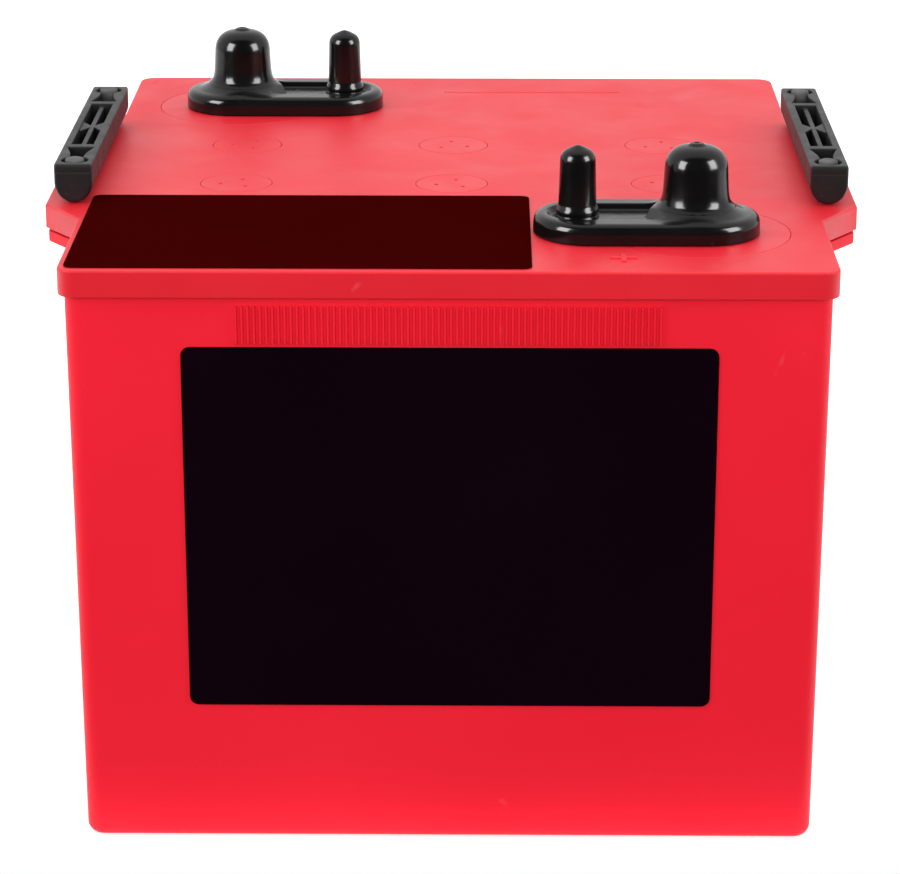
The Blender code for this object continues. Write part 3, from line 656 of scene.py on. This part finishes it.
def build_lid():
    half_x, half_y = LID_WIDTH / 2, LID_DEPTH / 2
    corners = [(half_x, half_y, CORNER), (-half_x, half_y, CORNER), *lug_corners(-1)[::-1]]
    corners += [(-half_x, -half_y, CORNER), (half_x, -half_y, CORNER), *lug_corners(1)]
    lid = slab("visual_lid", soften(corners, 10), SKIRT_BOTTOM, LID_TOP, 0.0004, 0.0009, 4)

    outline = rectangle(CASE_WIDTH + 2 * GAP, CASE_DEPTH + 2 * GAP, 0.005, steps=8)
    rooms = [slab("room", outline, UNDER_FLANGE, PLATE_UNDER)]
    for side in SIDES.values():
        outline = rectangle(*EAR_ROOM, 0.0, (side * (half_x + EAR_ROOM_OUT), 0.0))
        rooms.append(slab("under_lug", outline, UNDER_FLANGE, LID_TOP - EAR_THICK))
    for place in rope_places():
        rooms.append(slab("hole", circle(ROPE_HOLE, place, 24), IN_LUG, OVER_LID))
    combine(lid, "DIFFERENCE", *rooms)

    wells = [middle(f"vent_cap_{number}") for number in range(1, 7)]
    pads = [middle(f"terminal_pad_{pole}") for pole in POLES]
    outside, well_top = WELL_RADIUS + WELL_WALL, PLATE_UNDER + 0.002
    walls = [slab("well", circle(outside, place), WELL_BASE, well_top) for place in wells]
    combine(lid, "UNION", *walls)
    rooms = [flared("well_room", WELL_RADIUS, WELL_FLOOR, place) for place in wells]
    pad_floor = LID_TOP - PAD_THICK - GAP
    rooms += [flared("pad_room", PAD_RADIUS + FIT, pad_floor, place, 96) for place in pads]
    combine(lid, "DIFFERENCE", *rooms)

    necks = []
    for place in wells:
        outline = circle(NECK_RADIUS, place, 32)
        necks.append(slab("neck", outline, WELL_BASE + 0.001, NECK_TOP, 0.0, 0.0004))
    combine(lid, "UNION", *necks)
    outlines = [circle(NECK_BORE, place, 24) for place in wells]
    outlines += [circle(RISER_RADIUS + GAP, place, 40) for place in pads]
    bores = [slab("bore", outline, UNDER_FLANGE, OVER_LID) for outline in outlines]
    combine(lid, "DIFFERENCE", *bores)
    combine(lid, "UNION", *build_marks())
    place_piece(soft_shading(lid), "battery", "red_lid", red_lid, "lid")


def build_caps_and_pads():
    for number, turn in enumerate(CAP_TURNS, start=1):
        centre = middle(f"vent_cap_{number}")
        outline = circle(WELL_RADIUS - FIT, centre, 64)
        name = f"visual_vent_cap_{number}"
        cap = slab(name, outline, LID_TOP - CAP_THICK, LID_TOP, 0.0, CAP_ROUND)
        profile = [
            (SPANNER_HOLE, LID_TOP - SPANNER_DEPTH),
            (SPANNER_HOLE, LID_TOP - SPANNER_FLARE),
            (SPANNER_HOLE + SPANNER_FLARE, LID_TOP),
            (SPANNER_HOLE + 0.0006, LID_TOP + 0.0004),
        ]
        holes = []
        for step in range(3):
            angle = math.radians(turn + 120 * step)
            x = centre.x + SPANNER_CIRCLE * math.cos(angle)
            y = centre.y + SPANNER_CIRCLE * math.sin(angle)
            holes.append(turned("spanner_hole", profile, (x, y), 16))
        combine(cap, "DIFFERENCE", *holes)
        place_piece(soft_shading(cap), "battery", "red_cap", red_cap, f"vent_cap_{number}")

    for pole in POLES:
        centre = middle(f"terminal_pad_{pole}")
        outline = circle(PAD_RADIUS, centre, 96)
        name = f"visual_terminal_pad_{pole}"
        pad = slab(name, outline, LID_TOP - PAD_THICK, LID_TOP, 0.0, CAP_ROUND)
        outline = circle(RISER_RADIUS + GAP, centre, 40)
        combine(pad, "DIFFERENCE", slab("hole", outline, UNDER_PAD, OVER_LID))
        place_piece(soft_shading(pad), "battery", "red_pad", red_pad, f"terminal_pad_{pole}")


# ---------------------------------------------------------------- terminals
def stadium(over_all, width, centre, steps=24):
    """Two half circles joined by straight sides, the long way along X."""
    radius, reach = width / 2, (over_all - width) / 2
    points = []
    for end in (1, -1):
        for step in range(steps + 1):
            turn = math.pi * (step / steps - 0.5) + (0.0 if end > 0 else math.pi)
            x = centre[0] + end * reach + radius * math.cos(turn)
            points.append(Vector((x, centre[1] + radius * math.sin(turn))))
    return points


def build_casting(pole):
    """A lead bar with a tapered post on it, a riser under the post and a seat for the stud."""
    name = f"terminal_casting_{pole}"
    low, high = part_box(name)
    post, stud = middle(f"terminal_pad_{pole}"), middle(f"stud_{pole}")
    outline = stadium(high.x - low.x, high.y - low.y, ((low.x + high.x) / 2, post.y))
    casting = slab(f"visual_{name}", outline, BAR_LOW, BAR_HIGH, 0.0004, 0.0007, 4)
    top, radius = high.z, POST_RADIUS[pole]
    foot = radius + (top - COLLAR) / POST_TAPER
    profile = [
        (foot + 0.0016, BAR_HIGH - 0.001),
        (foot + 0.0016, BAR_HIGH),
        (foot + 0.0009, BAR_HIGH + 0.0004),
        (foot + 0.0006, BAR_HIGH + 0.0011),
        (foot + 0.0006, COLLAR - 0.0003),
        (foot + 0.0003, COLLAR),
        (foot, COLLAR),
        (radius, top - 0.0008),
        (radius - 0.0003, top - 0.0003),
        (radius - 0.0009, top),
    ]
    combine(casting, "UNION", turned("post", profile, post, 64))
    riser = slab("riser", circle(RISER_RADIUS, post, 40), low.z, BAR_LOW + 0.001)
    combine(casting, "UNION", riser)
    seat_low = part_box(f"stud_{pole}")[0].z - GAP
    seat = slab("seat", circle(STUD_RADIUS + GAP, stud, 40), seat_low, top)
    combine(casting, "DIFFERENCE", seat)
    place_piece(soft_shading(casting), "battery", "lead", lead, name)


def build_stud(pole):
    """A stud with its thread above the bar and a chamfered end."""
    name = f"stud_{pole}"
    low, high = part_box(name)
    centre = middle(name)
    less, height = STUD_CHAMFER
    rings, steps, sides = [], 140, 32
    for level in range(steps + 1):
        z = low.z + (high.z - low.z) * level / steps
        end = min((high.z - z) / height, 1.0)
        threaded = min(max((z - BAR_HIGH) / THREAD_RUN_IN, 0.0), 1.0) * end
        ring = []
        for step in range(sides):
            turn = 2 * math.pi * step / sides
            phase = (z / THREAD_PITCH - step / sides) % 1.0
            depth = THREAD_DEPTH * threaded * min(1.0, 1.25 * (1 - abs(2 * phase - 1)))
            radius = STUD_RADIUS - depth - less * (1 - end)
            ring.append((centre.x + radius * math.cos(turn), centre.y + radius * math.sin(turn), z))
        rings.append(ring)
    screw = rings_to_object(f"visual_{name}", rings)
    place_piece(soft_shading(screw, 60), "battery", "stainless_steel", steel, name)


def build_terminals():
    for pole in POLES:
        build_casting(pole)
        build_stud(pole)


# ---------------------------------------------------------------- boots, in millimetres
BOOT_STUD = 39.6  # from the post to the stud
BOOT_MIDDLE = 16.3  # from the post to the middle of the base
BOOT_REACH = 18.9  # from there to the centre of each round end
BOOT_HALF = 19.25
BOOT_DRAFT = 0.03
BOOT_SHELL = 1.0
PLATEAU = 6.7
PLATEAU_LIMIT = 7.0
SHOULDER_RING = 21.0
SHOULDER_RISE = 0.043
RECESS_HALF = 9.7
RECESS_FLOOR = 5.0
BELL_RADIUS = 10.25
BELL_TOP = 30.6
NIPPLE_RADIUS = 2.5
SLEEVE_RADIUS = 6.0
SLEEVE_TOP = 30.35


def boot_base(u, v, w):
    """The base, which rises to the dome and is sunk beside the sleeve."""
    along = np.clip(u, BOOT_MIDDLE - BOOT_REACH, BOOT_MIDDLE + BOOT_REACH)
    side = length(u - along, v) - BOOT_HALF + BOOT_DRAFT * np.maximum(w, 0)
    shoulder = np.maximum(SHOULDER_RING - length(u, v), 0)
    steepness = np.sqrt(1 + (2 * SHOULDER_RISE * shoulder) ** 2)
    plateau = (w - PLATEAU - SHOULDER_RISE * shoulder * shoulder) / steepness
    base = smooth_max(side, smooth_min(w - PLATEAU_LIMIT, plateau, 0.6), 3.4)

    inner = np.clip(u, 14.0, BOOT_STUD)
    around = (length(u - inner, v) - RECESS_HALF - 0.75 * (w - 6.0)) * 0.8
    recess = smooth_max(around, RECESS_FLOOR - w, 0.6)
    wall = (0.90 * u + 0.36 * np.abs(v) - 14.2 + 0.45 * (w - 7.0)) * 0.92
    return smooth_max(base, -smooth_max(recess, -wall, 0.3), 0.35)


def boot_bell(u, v, w):
    """The large dome over the post, with a flared foot and a dimpled nipple on top."""
    ring = length(u, v)
    flare = 1.0 * np.exp(-np.maximum(w - 10.4, -1) / 1.6)
    bell = ring - (BELL_RADIUS + 0.048 * (30.0 - w) + flare)
    roof = (w - BELL_TOP + 0.19 * length(ring, 1.5)) * 0.97
    bell = smooth_max(bell, roof, 6.2)
    nipple = smooth_max(ring - NIPPLE_RADIUS + 0.9 * (w - 30.1), np.abs(w - 29.6) - 1.05, 0.5)
    bell = smooth_min(bell, nipple, 1.0)
    dimple = length(u, v, w - 31.9) - 1.6
    return smooth_max(bell, -dimple, 0.5)


def boot_sleeve(u, v, w):
    """The slim dome over the stud, with a rolled foot and a bead round it."""
    ring = length(u - BOOT_STUD, v)
    sleeve = ring - (SLEEVE_RADIUS + 0.028 * (24.0 - w))
    tip = (w - SLEEVE_TOP + 0.50 * length(ring, 1.0)) * 0.89
    sleeve = smooth_max(sleeve, tip, 2.4)
    foot = length(ring - 5.9, w - 7.5) - 1.15
    sleeve = smooth_min(sleeve, foot, 1.6)
    bead = length(ring - 6.5, w - 5.6) - 0.8
    return smooth_min(sleeve, bead, 0.25)


def boot_outside(u, v, w):
    """Roughly the distance outside a boot; u runs from the post to the stud, w up from the lid."""
    body = smooth_min(boot_base(u, v, w), boot_bell(u, v, w), 0.7)
    return smooth_min(body, boot_sleeve(u, v, w), 0.5)


def boot_shell(u, v, w):
    outside = boot_outside(u, v, w)
    return np.maximum(smooth_max(outside, -outside - BOOT_SHELL, 0.3), 0.3 - w)


def build_boots():
    boots = []
    low, high = (-24.0, -20.5, -0.4), (56.5, 20.5, 32.0)
    step = 0.42
    for pole, sign in POLES.items():
        boot = surface(f"visual_boot_{pole}", boot_shell, low, high, step)
        post = middle(f"terminal_pad_{pole}")
        boot.location = (post.x, post.y, LID_TOP)
        boot.rotation_euler = (0.0, 0.0, math.pi if sign > 0 else 0.0)
        bpy.context.view_layer.update()
        place_piece(boot, f"boot_{pole}_body", "black_vinyl", vinyl, f"boot_{pole}")
        boots.append(boot)
    return boots


# ---------------------------------------------------------------- handles, in millimetres
GRIP_HALF_WIDTH = 6.6
GRIP_HALF_LENGTH = 60.75
GRIP_ROUND_BELOW = 7.2
GRIP_TOP = 13.7
GRIP_ROPE = 54.0  # from the middle of the grip to each rope
POCKET_HALF = (3.9, 31.2)
POCKET_DEPTH = 10.4
SLOT = (35.5, 52.0)  # where the slot behind each rope head starts and ends
SLOT_DEPTH = 9.5
SEAT_RADIUS = 4.7
SEAT_DEPTH = 4.7
KNOT_SIZE = 2.05
KNOT_DEPTH = 1.3
KNOT_RISE = 8.5  # from the foot of the leg to the middle of the knot
KNOT_OPEN = 0.42  # the part of the knot's turn left open at each end, in radians


def grip_solid(x, y, z):
    """Roughly the distance outside a grip; y runs along it and z up from its underside."""
    across, along = np.abs(x), np.abs(y)
    lower = np.minimum(z - GRIP_ROUND_BELOW, 0) / GRIP_ROUND_BELOW
    under = (length(x / GRIP_HALF_WIDTH, lower) - 1) * GRIP_HALF_WIDTH
    body = smooth_max(under, z - GRIP_TOP, 0.9)
    body = smooth_max(body, along - GRIP_HALF_LENGTH, 1.3)

    pocket = np.maximum(across - POCKET_HALF[0], along - POCKET_HALF[1])
    pocket = smooth_max(pocket, (GRIP_TOP - POCKET_DEPTH) - z, 0.8)
    tie = (along - 1.4 - (across - 0.8) * 1.75) * 0.5
    web = smooth_min(across - 0.8, tie, 0.5)
    web = np.maximum(web, z - (GRIP_TOP - 1.1))
    body = smooth_max(body, -smooth_max(pocket, -web, 0.4), 0.5)

    start, stop = SLOT
    throat = np.clip((along - start) / 15.5, 0, 1)
    width = 4.7 - 2.6 * np.sin(throat * math.pi / 2) + 0.8 * np.maximum(throat - 0.6, 0)
    slot = np.maximum(across - width, np.maximum(start - along, along - stop))
    slot = np.maximum(slot * 0.9, (GRIP_TOP - SLOT_DEPTH) - z)
    rope = length(x, along - GRIP_ROPE)
    seat = np.maximum(rope - SEAT_RADIUS, (GRIP_TOP - SEAT_DEPTH) - z)
    body = smooth_max(body, -smooth_min(slot, seat, 0.3), 0.5)
    body = smooth_max(body, ROPE_HOLE * 1000 - rope, 0.3)
    seam = length(z - 10.9, along - 61.05) - 0.42
    return smooth_max(body, -seam, 0.2)


def swept(name, path, radius, turns_per_mm=0.055, strands=3, sides=30):
    """A rope laid from strands along a path of points in millimetres."""
    path = [Vector(point) for point in path]
    way = (path[1] - path[0]).normalized()
    across = way.orthogonal().normalized()
    rings, run = [], 0.0
    for number, here in enumerate(path):
        ahead = path[min(number + 1, len(path) - 1)] - path[max(number - 1, 0)]
        across = (across - across.project(ahead)).normalized()
        other = ahead.normalized().cross(across)
        run += (here - path[max(number - 1, 0)]).length
        end = min(1.0, 0.55 + 0.45 * min(number, len(path) - 1 - number) / 2)
        ring = []
        for step in range(sides):
            turn = 2 * math.pi * step / sides
            lobe = abs(math.cos(strands / 2 * (turn - 2 * math.pi * run * turns_per_mm)))
            reach = radius * end * (0.80 + 0.22 * lobe**0.6)
            ring.append((here + reach * (math.cos(turn) * across + math.sin(turn) * other)) / 1000)
        rings.append(ring)
    return rings_to_object(name, rings)


def smooth_path(points, spacing):
    """Points along a smooth curve through the given ones."""
    points = [np.array(point, float) for point in points]
    padded = [2 * points[0] - points[1], *points, 2 * points[-1] - points[-2]]
    path = []
    for number in range(1, len(padded) - 2):
        a, b, c, d = padded[number - 1 : number + 3]
        count = max(2, int(round(np.linalg.norm(c - b) / spacing)))
        for step in range(count):
            t = step / count
            square = (2 * a - 5 * b + 4 * c - d) * t**2
            cube = (3 * b - a - 3 * c + d) * t**3
            path.append(0.5 * (2 * b + (c - a) * t + square + cube))
    return [*path, points[-1]]


def build_rope(name, side, end, body):
    """One rope leg, from its fused head in the grip down to an overhand knot under the lug."""
    low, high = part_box(name)
    centre = (low + high) / 2 * 1000
    top, bottom = high.z * 1000, low.z * 1000
    knot = bottom + KNOT_RISE
    path = [(0, 0, top - 2.0), (0, 0, 0.5 * (top + bottom) + 12), (0, 0, knot + 13)]
    for step in range(25):
        t = math.pi + KNOT_OPEN + (2 * math.pi - 2 * KNOT_OPEN) * step / 24
        x, y = math.sin(t) + 2 * math.sin(2 * t), math.cos(t) - 2 * math.cos(2 * t)
        sideways = -KNOT_DEPTH * math.sin(3 * t) - 0.6 * side
        path.append((sideways, end * (2.6 - KNOT_SIZE * (y + 3) * 0.9), knot - KNOT_SIZE * x * 0.95))
    path += [(0.0, 0.0, bottom + 1.0), (0.0, -0.6 * end, bottom - 5.0)]
    path = [(centre.x + px, centre.y + py, pz) for px, py, pz in smooth_path(path, 0.7)]
    rope = swept("visual_" + name, path, ROPE_RADIUS * 1000 * 0.93)

    head_low = top - 2.8
    profile = [(2.6, 0.0), (3.1, 0.3), (3.3, 2.0), (3.35, 4.2)]
    profile += [(3.1, 4.75), (2.2, 5.05), (0.8, 4.9), (0.02, 4.8)]
    profile = [(radius / 1000, (head_low + rise) / 1000) for radius, rise in profile]
    head = turned("head", profile, (centre.x / 1000, centre.y / 1000), 40)
    place_piece(soft_shading(merged([rope, head]), 60), body, "handle_rope", rope_nylon, name)


def build_handles():
    low, high = (-7.4, -61.6, -0.8), (7.4, 61.6, 14.6)
    step = 0.4
    for name, side in SIDES.items():
        body, cad_grip = f"handle_{name}", f"handle_grip_{name}"
        grip = surface(f"visual_{cad_grip}", grip_solid, low, high, step)
        centre = middle(cad_grip)
        grip.location = (centre.x, centre.y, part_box(cad_grip)[0].z)
        bpy.context.view_layer.update()
        place_piece(grip, body, "grip_plastic", grip_plastic, cad_grip)
        for end_name, end in (("front", -1), ("rear", 1)):
            build_rope(f"handle_rope_{name}_{end_name}", side, end, body)


# ---------------------------------------------------------------- carried-over CAD nodes
def dress_cad_nodes():
    looks = {
        "relief_valve": rubber,
        "cell_link": lead,
        "positive_plates": grid_lead,
        "negative_plates": grid_lead,
        "glass_mat": glass_fibre,
        "front_label": black_label,
        "top_label": maroon_label,
    }
    for name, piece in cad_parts.items():
        for start, material in looks.items():
            if name.startswith(start):
                piece.data.materials.clear()
                piece.data.materials.append(material)


# ---------------------------------------------------------------- camera, floor and light
def build_camera():
    """Looks down at the front of the object, from a little to its right."""
    pitch, yaw = math.radians(18.98), math.radians(0.62)
    camera = bpy.data.objects.new("camera", bpy.data.cameras.new("camera"))
    camera.data.sensor_width = 36.0
    camera.data.lens = 129.62
    camera.location = (0.0115, -1.1454, 0.4920)
    camera.rotation_euler = (math.pi / 2 - pitch, 0.0, yaw)
    bpy.context.scene.collection.objects.link(camera)
    bpy.context.scene.camera = camera


def build_floor():
    """A thin pale slab that starts just in front of the object and runs far behind it."""
    side, front, back = 4.0, -0.152, 6.0
    corners = ((side, back), (-side, back), (-side, front), (side, front))
    floor = slab("floor", [Vector(corner) for corner in corners], -0.001, -0.0001)
    material = look(
        "floor", (0.90, 0.90, 0.90), (0.88, 0.88, 0.88), (0.75, 0.85),
        cloud=2.0, grain=300.0, grain_depth=0.00001, specular=0.0,
    )
    shader = material.node_tree.nodes["Principled BSDF"]
    shader.inputs["Emission Color"].default_value = (1.0, 1.0, 1.0, 1.0)
    shader.inputs["Emission Strength"].default_value = 0.50
    floor.data.materials.append(material)


def area_light(name, azimuth, elevation, distance, size, power, mirrored=True, only=None):
    """A soft box aimed at the lid; azimuth 0 is in front of the object, 90 to its right.

    A light that isn't mirrored gives no reflection of itself. One with "only" shines on those
    pieces alone, and only as a reflection.
    """
    lamp = bpy.data.lights.new(name, "AREA")
    lamp.shape = "RECTANGLE"
    lamp.size, lamp.size_y = size
    lamp.energy = power
    holder = bpy.data.objects.new(name, lamp)
    holder.visible_glossy = mirrored
    if only:
        holder.visible_diffuse = False
        holder.light_linking.receiver_collection = bpy.data.collections.new(name)
        for piece in only:
            holder.light_linking.receiver_collection.objects.link(piece)
    a, e = math.radians(azimuth), math.radians(elevation)
    way = Vector((math.sin(a) * math.cos(e), -math.cos(a) * math.cos(e), math.sin(e)))
    holder.location = Vector((0.0, 0.0, 0.15)) + distance * way
    holder.rotation_euler = way.to_track_quat("Z", "Y").to_euler()
    bpy.context.scene.collection.objects.link(holder)


def build_world():
    """A white sweep behind the object and a dark room in front of it; the camera sees white."""
    world = bpy.data.worlds.new("studio")
    bpy.context.scene.world = world
    world.use_nodes = True
    tree = world.node_tree
    tree.nodes.clear()
    way = node(tree, "ShaderNodeTexCoord").outputs["Generated"]
    y = node(tree, "ShaderNodeSeparateXYZ", {0: way}).outputs[1]
    sweep = spread(tree, y, -0.34, -0.08, 0.04, 1.0)
    ray = node(tree, "ShaderNodeLightPath").outputs["Is Camera Ray"]
    seen = node(tree, "ShaderNodeMath", {0: sweep, 1: ray}, operation="MAXIMUM")
    inputs = {"Color": (1.0, 1.0, 1.0, 1.0), "Strength": seen.outputs[0]}
    back = node(tree, "ShaderNodeBackground", inputs)
    out = node(tree, "ShaderNodeOutputWorld")
    tree.links.new(back.outputs[0], out.inputs[0])


def build_lights(boots):
    area_light("soft_box_left", -56, 25, 1.7, (0.75, 1.1), 12)
    area_light("soft_box_right", 62, 25, 1.7, (0.75, 1.1), 8)
    area_light("front_fill", 0, 18, 2.4, (2.0, 1.0), 41, mirrored=False)
    area_light("overhead_fill", 0, 88, 1.6, (1.8, 1.8), 11, mirrored=False)
    area_light("left_glint", -56, 25, 1.5, (0.70, 0.92), 34, only=boots)
    area_light("right_glint", 62, 25, 1.5, (0.70, 0.92), 34, only=boots)


build_camera()
build_floor()
build_world()
bpy.context.scene.view_settings.view_transform = "Standard"

build_case()
build_lid()
build_caps_and_pads()
build_terminals()
build_lights(build_boots())
build_handles()
dress_cad_nodes()
